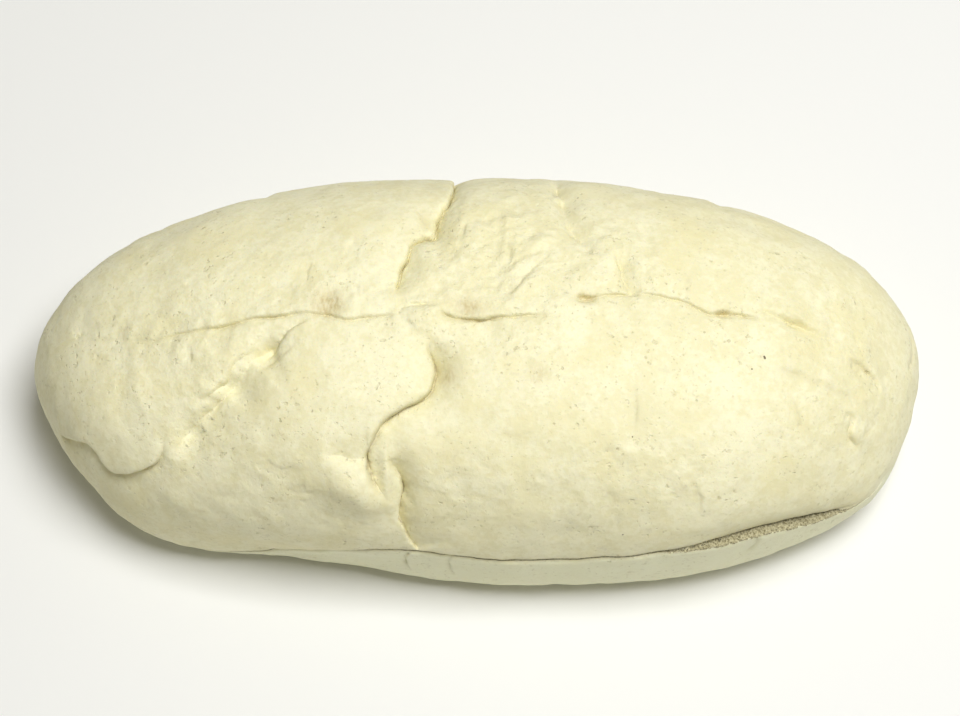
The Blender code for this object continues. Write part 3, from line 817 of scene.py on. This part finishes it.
@dataclass
class Crust:
    """The whole roll's skin: folds, wrinkles and uneven ground, with the slit cut in."""

    form: RollForm
    slit: Slit
    ball_level: int = 6
    voxel: float = 0.00050
    spine_step: float = 0.0004
    refine_reaches: tuple[float, ...] = (1.6, 0.9)  # in lips, one for each halving of the edges
    triangles: int = 150_000
    grounds: tuple[tuple[float, float], ...] = (
        (0.0170, 0.0006), (0.0065, 0.00026), (0.0030, 0.00008), (0.0013, 0.00003),
    )
    crackles: tuple[tuple[float, float], ...] = ((0.0064, 0.00042), (0.0040, -0.00026), (0.0024, 0.00013))
    crush: tuple[float, float] = (0.0045, 0.0012)  # size and reach of the bends in those crackles
    base_crumple: float = 0.16
    crumple_drift: tuple[float, float] = (0.012, 0.14)  # size and height of its slow changes
    tips_from: float = 0.985  # beyond this share of the way out, a tip keeps the squares it has
    refined_lip: float = 0.0015  # a wider lip is refined as if it were this wide
    lean_back: float = 0.7  # share of its roll-over by which a crease starts back from its line
    wanders: tuple[tuple[float, float], ...] = ((0.0050, 0.0004), (0.0016, 0.00018))
    spines: list[tuple[Crease, Spine]] = field(default_factory=list)

    def ball(self) -> bpy.types.Object:
        """The bare form, with even squares all over."""
        bpy.ops.object.select_all(action="DESELECT")
        bpy.ops.mesh.primitive_ico_sphere_add(subdivisions=self.ball_level, radius=1)
        roll = renamed(bpy.context.object, "crust")
        ball = vertex_array(roll.data)
        girth = np.degrees(np.arctan2(ball[:, 2], -ball[:, 1]))
        set_vertices(roll.data, self.form.points(ball[:, 0] * self.form.length / 2, girth))
        apply_modifier(roll, "REMESH", mode="VOXEL", voxel_size=self.voxel)
        return roll

    def reseat(self, roll: bpy.types.Object) -> None:
        """Moves the points exactly on to the bare form, but for its very tips."""
        points = vertex_array(roll.data)
        held = self.form.share_out(points[:, 0]) > self.tips_from
        x = np.clip(points[:, 0], -self.form.length / 2, self.form.length / 2)
        seated = self.form.points(x, self.form.girth_of(points))
        set_vertices(roll.data, np.where(held[:, None], points, seated))

    def refine(self, roll: bpy.types.Object, lips: float) -> None:
        """Halves the edges near the creases, so that a lip has enough points to roll over.

        Args:
            roll: The bare form.
            lips: How far from a crease's line the halving goes, in its lips.
        """
        points = vertex_array(roll.data)
        bent = self.wander(points)
        form = bmesh.new()
        form.from_mesh(roll.data)
        bmesh.ops.triangulate(form, faces=form.faces)
        near = np.zeros(len(points), bool)
        for crease, spine in self.spines:
            index, _, _ = spine.measure(bent, lips * min(crease.lip, self.refined_lip) + self.voxel)
            near[index] = True
        above = np.abs(points[:, 2] - self.slit.level_at(points[:, 0]))
        near |= (above < lips * self.voxel) & (points[:, 1] < 0)
        edges = [edge for edge in form.edges if near[edge.verts[0].index] and near[edge.verts[1].index]]
        bmesh.ops.subdivide_edges(form, edges=edges, cuts=1, use_grid_fill=True)
        bmesh.ops.triangulate(form, faces=form.faces)
        form.to_mesh(roll.data)
        form.free()

    def wander(self, points: np.ndarray) -> np.ndarray:
        """The points moved a little sideways, so that creases measured from them bend as real ones do."""
        return points + sum(reach * noise_vectors(points, size) for size, reach in self.wanders)

    def fold(self, roll: bpy.types.Object) -> None:
        """Presses the folds and lumps into the crust, and lays its underside flat on the table."""
        points = vertex_array(roll.data)
        normals = normal_array(roll.data)
        bent = self.wander(points)
        rise = sum(height * noise_at(points, size) for size, height in self.grounds)
        rise += sum(lump.rise(self.form, points) for lump in LUMPS)
        lean = np.zeros_like(points)
        # painted shade along each crease's line and beside the slit, kept for the crust's colour
        painted_line_shade = np.zeros(len(points))
        for crease, spine in self.spines:
            index, off, run = spine.measure(bent, crease.reach())
            strength = spine.strength_at(run)
            off = off - self.lean_back * crease.over * strength
            rise[index] += crease.rise(off) * strength
            lean[index] -= spine.lefts_at(run) * (crease.roll_over(off) * strength)[:, None]
            painted_line_shade[index] = np.maximum(painted_line_shade[index], crease.line(off) * strength)
        painted_line_shade = np.maximum(painted_line_shade, self.slit.line(points))
        crumple = self.crumple(points)
        crush_size, crush_reach = self.crush
        folded = points + crush_reach * noise_vectors(points, crush_size)
        for size, height in self.crackles:
            rise += height * crumple * ridges(folded, size)
        moved = points + normals * rise[:, None] + lean
        moved[:, 1] += self.slit.lip_shift(points)
        moved[:, 2] = np.maximum(moved[:, 2], 0)
        set_vertices(roll.data, moved)
        smear_and_shade = np.clip(sum(patch.mask(self.form, points) for patch in SMEARS_AND_SHADE), 0, 1)
        under = self.slit.under(points)
        for name, values in (("painted_line_shade", painted_line_shade), ("crumple", crumple), ("smear_and_shade", smear_and_shade), ("under", under)):
            layer = roll.data.attributes.new(name, "FLOAT", "POINT")
            layer.data.foreach_set("value", values.astype(np.float32))
        bare = roll.data.attributes.new("bare", "FLOAT_VECTOR", "POINT")
        bare.data.foreach_set("vector", points.astype(np.float32).ravel())

    def crumple(self, points: np.ndarray) -> np.ndarray:
        """How crumpled the skin is at each point, 0 to 1."""
        size, height = self.crumple_drift
        patches = sum(patch.mask(self.form, points) for patch in CRUMPLES)
        return np.clip(self.base_crumple + height * noise_at(points, size) + patches, 0, 1)

    def cut(self, roll: bpy.types.Object, crumb: bpy.types.Material) -> None:
        """Opens the slit, with crumb on what it lays bare."""
        blade = self.slit.blade(self.form, crumb)
        apply_modifier(roll, "BOOLEAN", operation="DIFFERENCE", object=blade, solver="EXACT",
                       material_mode="TRANSFER")
        bpy.data.objects.remove(blade)

    def build(self, finish: bpy.types.Material, crumb: bpy.types.Material) -> bpy.types.Object:
        """Makes the crust.

        Args:
            finish: The crust's material.
            crumb: The material inside the slit.

        Returns:
            The finished piece, not yet moved over the origin.
        """
        patches = [crease for patch in PUCKERS for crease in patch.creases(self.form)]
        for crease in (*FOLDS.values(), *WRINKLES, *patches):
            self.spines.append((crease, crease.spine(self.form, self.spine_step)))
        roll = self.ball()
        for lips in self.refine_reaches:
            self.refine(roll, lips)
        self.reseat(roll)
        self.fold(roll)
        LOG.info("crust folded: %d triangles", triangle_count(roll.data))
        thin_to(roll, self.triangles)
        roll.data.materials.append(finish)
        self.cut(roll, crumb)
        roll.data.shade_smooth()
        LOG.info("crust cut: %d triangles", triangle_count(roll.data))
        return roll


# The crumb


@dataclass
class TornCrumb:
    """Rough crumb that the knife pulled out along the lower lip of the slit's open end."""

    slit: Slit
    reach: tuple[float, float] = (0.036, 0.0770)
    inward: tuple[float, float] = (0.0001, 0.0024)  # from the crust's edge
    radii: tuple[float, float] = (0.00010, 0.00028)
    grains: int = 1700
    voxel: float = 0.00010
    triangles: int = 60_000
    roughness: tuple[float, float] = (0.0002, 0.00004)  # size and height of each grain's own relief
    seed: int = 5
    below_edge: float = 0.0004  # how far under the lower lip's edge the crust is looked for
    taper: float = 0.010  # over which the grains shrink to half size at each end
    crowding: float = 1.3  # above 1, grains lie closest at the crust's edge
    stretches: tuple[float, float] = (0.6, 1.4)
    lifts: tuple[float, float] = (-0.2, 0.7)  # in radii, from the slit's lower face

    def build(self, crust: bpy.types.Object, finish: bpy.types.Material) -> bpy.types.Object:
        """Makes the crumb.

        Args:
            crust: The cut crust that it lies in.
            finish: Its material.

        Returns:
            The finished piece, in the crust's place.
        """
        draw = np.random.default_rng(self.seed)
        tree = BVHTree.FromObject(crust, bpy.context.evaluated_depsgraph_get())
        bpy.ops.object.select_all(action="DESELECT")
        bpy.ops.mesh.primitive_ico_sphere_add(subdivisions=2, radius=1)
        grain = renamed(bpy.context.object, "torn_crumb")
        ball = vertex_array(grain.data)
        faces = np.array([list(face.vertices) for face in grain.data.polygons])
        points, corners = [], []
        for _ in range(self.grains):
            x = draw.uniform(*self.reach)
            floor = self.slit.level_at(x) - self.slit.gap_at(x) / 2
            outside = Vector((x, -0.1, floor - self.below_edge))
            hit, _, _, _ = tree.ray_cast(outside, Vector((0, 1, 0)))
            if hit is None:
                continue
            edge = float(min((x - self.reach[0]), (self.reach[1] - x)) / self.taper)
            size = draw.uniform(*self.radii) * (0.5 + 0.5 * float(ease(edge)))
            first, last = self.inward
            y = hit.y + first + (last - first) * draw.uniform() ** self.crowding
            stretch = draw.uniform(*self.stretches, 3) * size
            corners.append(faces + len(ball) * len(points))
            points.append(ball * stretch + (x, y, floor + draw.uniform(*self.lifts) * size))
        mesh = bpy.data.meshes.new("torn_crumb")
        mesh.from_pydata(np.vstack(points).tolist(), [], np.vstack(corners).tolist())
        grain.data = mesh
        apply_modifier(grain, "REMESH", mode="VOXEL", voxel_size=self.voxel)
        rough = vertex_array(grain.data)
        size, height = self.roughness
        relief = height * noise_at(rough, size)
        set_vertices(grain.data, rough + normal_array(grain.data) * relief[:, None])
        thin_to(grain, self.triangles)
        grain.data.materials.append(finish)
        grain.data.shade_smooth()
        LOG.info("torn crumb: %d triangles", triangle_count(grain.data))
        return grain


# Finishes


class Sock:
    """A shader socket on which Python's operators build Math nodes."""

    def __init__(self, shader: "Shader", socket: bpy.types.NodeSocket) -> None:
        """Wraps a socket of a shader."""
        self.shader = shader
        self.socket = socket

    def math(self, operation: str, *values: "Sock | float", clamp: bool = False) -> "Sock":
        """A Math node on these values.

        Args:
            operation: The node's operation.
            *values: What it takes, in order.
            clamp: Whether the result is held between 0 and 1.

        Returns:
            The node's output.
        """
        settings = {"operation": operation, "use_clamp": clamp}
        return self.shader.node("ShaderNodeMath", settings, dict(enumerate(values)))

    def __add__(self, other: "Sock | float") -> "Sock":
        """The sum."""
        return self.math("ADD", self, other)

    __radd__ = __add__

    def __sub__(self, other: "Sock | float") -> "Sock":
        """The difference."""
        return self.math("SUBTRACT", self, other)

    def __rsub__(self, other: float) -> "Sock":
        """The difference, the other way round."""
        return self.math("SUBTRACT", other, self)

    def __mul__(self, other: "Sock | float") -> "Sock":
        """The product."""
        return self.math("MULTIPLY", self, other)

    __rmul__ = __mul__

    def absolute(self) -> "Sock":
        """This, without its sign."""
        return self.math("ABSOLUTE", self)

    def at_least(self, low: float) -> "Sock":
        """This, squeezed so that its 0 becomes low and its 1 stays."""
        return self * (1 - low) + low

    def clamped(self) -> "Sock":
        """This, held between 0 and 1."""
        return self.math("ADD", self, 0.0, clamp=True)

    def ramp(self, low: float, high: float) -> "Sock":
        """0 at low and 1 at high, which may be the lesser, with soft ends."""
        settings = {"interpolation_type": "SMOOTHSTEP"}
        inputs = {"Value": self, "From Min": low, "From Max": high}
        return self.shader.node("ShaderNodeMapRange", settings, inputs)


class Shader:
    """A material's node tree, with one method for every node."""

    def __init__(self, name: str) -> None:
        """Starts a material with nothing but its Principled BSDF and output."""
        self.material = bpy.data.materials.new(name)
        self.material.use_nodes = True
        self.tree = self.material.node_tree
        self.principled = self.tree.nodes["Principled BSDF"]
        self.place = self.node("ShaderNodeTexCoord", output="Object")

    def node(
        self,
        kind: str,
        settings: dict[str, object] | None = None,
        inputs: dict[int | str, object] | None = None,
        output: int | str = 0,
    ) -> Sock:
        """Adds a node.

        Args:
            kind: The node's type.
            settings: Its properties, which are set first.
            inputs: Its sockets' values or links, by name or index.
            output: The output that is returned.

        Returns:
            That output.
        """
        made = self.tree.nodes.new(kind)
        for name, value in (settings or {}).items():
            setattr(made, name, value)
        for name, value in (inputs or {}).items():
            self.feed(made.inputs[name], value)
        return Sock(self, made.outputs[output])

    def feed(self, socket: bpy.types.NodeSocket, value: object) -> None:
        """Links a socket to a Sock, or sets its value."""
        if isinstance(value, Sock):
            self.tree.links.new(value.socket, socket)
        else:
            socket.default_value = value

    def noise(
        self, size: float, detail: float = 2.0, roughness: float = 0.5, place: Sock | None = None
    ) -> Sock:
        """Noise of 0 to 1 with bumps of a real size."""
        inputs = {"Vector": place or self.place, "Scale": 1 / size, "Detail": detail, "Roughness": roughness}
        return self.node("ShaderNodeTexNoise", None, inputs)

    def cells(self, size: float) -> Sock:
        """How far each point is from the middle of its cell, in cells of a real size."""
        return self.node("ShaderNodeTexVoronoi", None, {"Vector": self.place, "Scale": 1 / size}, "Distance")

    def attribute(self, name: str, output: str = "Fac") -> Sock:
        """A value stored on the mesh's vertices."""
        return self.node("ShaderNodeAttribute", {"attribute_name": name}, None, output)

    def stretched(self, scale: tuple[float, float, float]) -> Sock:
        """The place, scaled along each axis."""
        return self.node("ShaderNodeMapping", None, {"Vector": self.place, "Scale": scale})

    def near(self, place: Sock, point: tuple[float, float, float], inner: float, outer: float) -> Sock:
        """1 where place is within inner of a point, and 0 beyond outer."""
        inputs = {0: place, 1: point}
        apart = self.node("ShaderNodeVectorMath", {"operation": "DISTANCE"}, inputs, "Value")
        return apart.ramp(outer, inner)

    def mix(self, share: Sock | float, first: object, second: object) -> Sock:
        """A colour between first and second."""
        inputs = {"Factor": share, 6: first, 7: second}
        return self.node("ShaderNodeMix", {"data_type": "RGBA"}, inputs, 2)

    def finish(self, values: dict[str, object]) -> bpy.types.Material:
        """Sets the Principled BSDF's sockets and returns the material."""
        for name, value in values.items():
            self.feed(self.principled.inputs[name], value)
        return self.material


def colour(red: float, green: float, blue: float) -> tuple[float, float, float, float]:
    """An opaque linear colour."""
    return (red, green, blue, 1.0)


@dataclass(frozen=True)
class Mottle:
    """Noise turned into soft-edged spots."""

    size: float
    detail: float
    roughness: float
    low: float  # the noise at which a spot starts
    high: float  # and at which it is full

    def mask(self, shader: Shader, place: Sock | None = None) -> Sock:
        """1 inside the spots and 0 between them."""
        return shader.noise(self.size, self.detail, self.roughness, place).ramp(self.low, self.high)


@dataclass(frozen=True)
class CrustFinish:
    """Barely baked skin: matt, pale cream, mottled, with small smudges, a few tan smeared patches, and
    painted shade in its creases, pits and dimples and beside the slit.
    """

    pale: tuple[float, ...] = colour(0.910, 0.872, 0.606)
    deep: tuple[float, ...] = colour(0.830, 0.780, 0.490)
    straw: tuple[float, ...] = colour(0.830, 0.760, 0.430)
    # for the specks and smudges, and as painted shade in the pits
    smudge_and_pit_shade: tuple[float, ...] = colour(0.600, 0.550, 0.325)
    tan: tuple[float, ...] = colour(0.560, 0.450, 0.220)
    # painted shade, for the creases' lines and beside the slit
    fold: tuple[float, ...] = colour(0.420, 0.355, 0.195)
    base: tuple[float, ...] = colour(0.875, 0.878, 0.640)
    speck: tuple[float, ...] = colour(0.130, 0.100, 0.045)
    roughness: float = 0.62
    subsurface: float = 0.10
    radii: tuple[float, float, float] = (0.0030, 0.0022, 0.0010)
    specular: float = 0.35
    bump_height: float = 0.00026
    blots: Mottle = Mottle(0.011, 3.0, 0.6, 0.50, 0.68)
    patchy: Mottle = Mottle(0.009, 2.0, 0.5, 0.38, 0.62)
    dots: Mottle = Mottle(0.00075, 2.0, 0.5, 0.62, 0.72)
    smudges: Mottle = Mottle(0.0024, 4.0, 0.65, 0.56, 0.70)
    pits: Mottle = Mottle(0.0015, 2.0, 0.5, 0.64, 0.73)
    broken: Mottle = Mottle(0.0012, 3.0, 0.6, 0.35, 0.65)
    fibres: Mottle = Mottle(0.0006, 3.0, 0.6, 0.36, 0.68)

    def material(self, specks: dict[tuple[float, float, float], float]) -> bpy.types.Material:
        """Makes the material.

        Args:
            specks: The radius of a dark speck at each point of the bare form.

        Returns:
            The material.
        """
        shader = Shader("pale_crust")
        fine = shader.noise(0.0012, 4.0, 0.65)
        patchy = self.patchy.mask(shader)
        dots = self.dots.mask(shader) * patchy.at_least(0.35)
        smudges = self.smudges.mask(shader) * patchy.at_least(0.30)
        # pits: dents in the bump, darkened in colour as painted shade in them
        pits = self.pits.mask(shader) * patchy
        # painted shade along the creases and just above the slit, broken up
        painted_shade_lines = (shader.attribute("painted_line_shade") * self.broken.mask(shader).at_least(0.35)).clamped()
        fibres = self.fibres.mask(shader, shader.stretched((1.0, 0.40, 1.0)))
        # tan smears, and painted shade in a hollow and in the crown's dimples
        smears_and_shade = shader.attribute("smear_and_shade") * fibres.at_least(0.40)
        tone = (shader.noise(0.028, 2.0) * 0.30 + shader.noise(0.0048, 3.0, 0.6) * 0.35 + fine * 0.35)
        skin = shader.mix(tone.ramp(0.40, 0.59), self.deep, self.pale)
        for spots, strength, tint in (
            (self.blots.mask(shader), 0.40, self.straw),
            (shader.attribute("under"), 0.65, self.base),
            (dots, 0.48, self.smudge_and_pit_shade),
            (smudges, 0.34, self.smudge_and_pit_shade),
            (pits, 0.30, self.smudge_and_pit_shade),
            (painted_shade_lines, 0.80, self.fold),
            (smears_and_shade, 0.85, self.tan),
        ):
            skin = shader.mix(spots * strength, skin, tint)
        bare = shader.attribute("bare", "Vector")
        for point, radius in specks.items():
            skin = shader.mix(shader.near(bare, point, 0.7 * radius, 1.3 * radius) * 0.9, skin, self.speck)

        leather = shader.noise(0.0016, 4.0, 0.62)
        crackle = (shader.noise(0.0024, 3.0, 0.55) * 2.0 - 1.0).absolute()
        facet = (shader.noise(0.0040, 3.0, 0.5) * 2.0 - 1.0).absolute()
        crushed = (facet * 1.1 - crackle * 0.9) * shader.attribute("crumple").at_least(0.10)
        relief = leather * 0.38 + crushed - dots * 0.15 - pits * 0.35
        bumps = {"Strength": 1.0, "Distance": self.bump_height, "Height": relief}
        normal = shader.node("ShaderNodeBump", None, bumps)
        return shader.finish({
            "Base Color": skin,
            "Roughness": (fine * 0.12 + (self.roughness - 0.06)).clamped(),
            "Normal": normal,
            "Subsurface Weight": self.subsurface,
            "Subsurface Radius": self.radii,
            "Subsurface Scale": 1.0,
            "Specular IOR Level": self.specular,
        })


@dataclass(frozen=True)
class CrumbFinish:
    """Open, dry crumb inside the slit, its real pale colour darkened in part as painted shade of the slit,
    and its pores darker still as painted shade in them.
    """

    pale: tuple[float, ...] = colour(0.540, 0.500, 0.320)
    deep: tuple[float, ...] = colour(0.300, 0.262, 0.145)
    roughness: float = 0.85
    specular: float = 0.25
    hole_size: float = 0.00040
    grain_size: float = 0.0005
    bump_height: float = 0.0003

    def material(self) -> bpy.types.Material:
        """Makes the material."""
        shader = Shader("torn_crumb")
        holes = shader.cells(self.hole_size)
        grain = shader.noise(self.grain_size, 3.0, 0.6)
        # darkest in the middle of each cell, the pores: painted shade in them
        tone = (holes * 0.5 + grain * 0.6).ramp(0.30, 0.72)
        bumps = {"Strength": 0.6, "Distance": self.bump_height, "Height": tone}
        normal = shader.node("ShaderNodeBump", None, bumps)
        return shader.finish({
            "Base Color": shader.mix(tone, self.deep, self.pale),
            "Roughness": self.roughness,
            "Normal": normal,
            "Specular IOR Level": self.specular,
        })


@dataclass(frozen=True)
class FloorFinish:
    """Plain, matt, near-white paint."""

    tone: tuple[float, ...] = colour(0.88, 0.88, 0.86)
    roughness: float = 0.75
    drift_size: float = 0.6
    drift_share: float = 0.985  # the darker paint, as a share of the lighter

    def material(self) -> bpy.types.Material:
        """Makes the material."""
        shader = Shader("pale_floor")
        shade = colour(*(self.drift_share * value for value in self.tone[:3]))
        paint = shader.mix(shader.noise(self.drift_size, 1.0), shade, self.tone)
        return shader.finish({"Base Color": paint, "Roughness": self.roughness})


# The studio


@dataclass
class Studio:
    """The floor, the soft light and the camera."""

    floor_half: float = 3.0
    floor_level: float = -0.0001
    key_at: tuple[float, float, float] = (0.20, -0.042, 0.86)
    key_size: float = 0.40
    key_power: float = 7.5
    sky: float = 0.165
    sky_tint: tuple[float, float, float] = (1.0, 0.97, 0.81)
    elevation: float = 64.0
    roll: float = 0.7
    target: tuple[float, float, float] = (0.00065, 0.0035, 0.018)
    distance: float = 0.5
    lens: float = 94.24  # mm, on a 36 mm sensor

    def floor(self) -> None:
        """A plain pale floor."""
        bpy.ops.object.select_all(action="DESELECT")
        bpy.ops.mesh.primitive_plane_add(size=2 * self.floor_half, location=(0, 0, self.floor_level))
        floor = renamed(bpy.context.object, "floor")
        floor.data.materials.append(FloorFinish().material())

    def lights(self) -> None:
        """One large overhead softbox, a little to the right, in an even white room."""
        light = bpy.data.lights.new("key", "AREA")
        light.energy = self.key_power
        light.size = self.key_size
        key = bpy.data.objects.new("key", light)
        key.location = self.key_at
        key.rotation_euler = (-Vector(self.key_at)).to_track_quat("-Z", "Y").to_euler()
        bpy.context.scene.collection.objects.link(key)
        world = bpy.data.worlds.new("room")
        world.use_nodes = True
        backdrop = world.node_tree.nodes["Background"].inputs
        backdrop["Color"].default_value = colour(*self.sky_tint)
        backdrop["Strength"].default_value = self.sky
        bpy.context.scene.world = world

    def camera(self) -> None:
        """The camera, looking down on the roll from its slit side."""
        rise, turn = math.radians(self.elevation), math.radians(self.roll)
        back = Vector((0, -math.cos(rise), math.sin(rise)))
        level = Vector((1, 0, 0))
        up = back.cross(level)
        right = level * math.cos(turn) + up * math.sin(turn)
        top = up * math.cos(turn) - level * math.sin(turn)
        place = Matrix((right, top, back)).transposed().to_4x4()
        place.translation = Vector(self.target) + back * self.distance
        lens = bpy.data.cameras.new("camera")
        lens.lens = self.lens
        lens.clip_start = 0.01
        camera = bpy.data.objects.new("camera", lens)
        camera.matrix_world = place
        bpy.context.scene.collection.objects.link(camera)
        bpy.context.scene.camera = camera

    def build(self) -> None:
        """Sets the studio up."""
        self.floor()
        self.lights()
        self.camera()
        bpy.context.scene.view_settings.view_transform = "Standard"
        LOG.info("studio ready")


def centre_together(pieces: list[bpy.types.Object]) -> np.ndarray:
    """Moves the pieces so that the first one's plan box is centred on the origin.

    Args:
        pieces: The crust, and what lies in it.

    Returns:
        How far they moved.
    """
    points = vertex_array(pieces[0].data)
    shift = -(points.min(axis=0) + points.max(axis=0)) / 2
    shift[2] = 0
    for piece in pieces:
        piece.data.transform(Matrix.Translation(shift))
    return shift


def main() -> None:
    """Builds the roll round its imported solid, and the studio round the roll."""
    logging.basicConfig(level=logging.INFO, format="%(name)s: %(message)s")
    noise.seed_set(NOISE_SEED)
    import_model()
    form = RollForm()
    slit = Slit()
    specks = {tuple(form.at(*place)): radius for place, radius in SPECKS.items()}
    crumb_finish = CrumbFinish().material()
    crust = Crust(form, slit).build(CrustFinish().material(specks), crumb_finish)
    crumb = TornCrumb(slit).build(crust, crumb_finish)
    shift = centre_together([crust, crumb])
    LOG.info("centred by %s mm", np.round(shift * 1000, 2))
    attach(crust, BODY)
    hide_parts(NODE)
    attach(crumb, BODY)
    Studio().build()


if __name__ == "__main__":
    main()
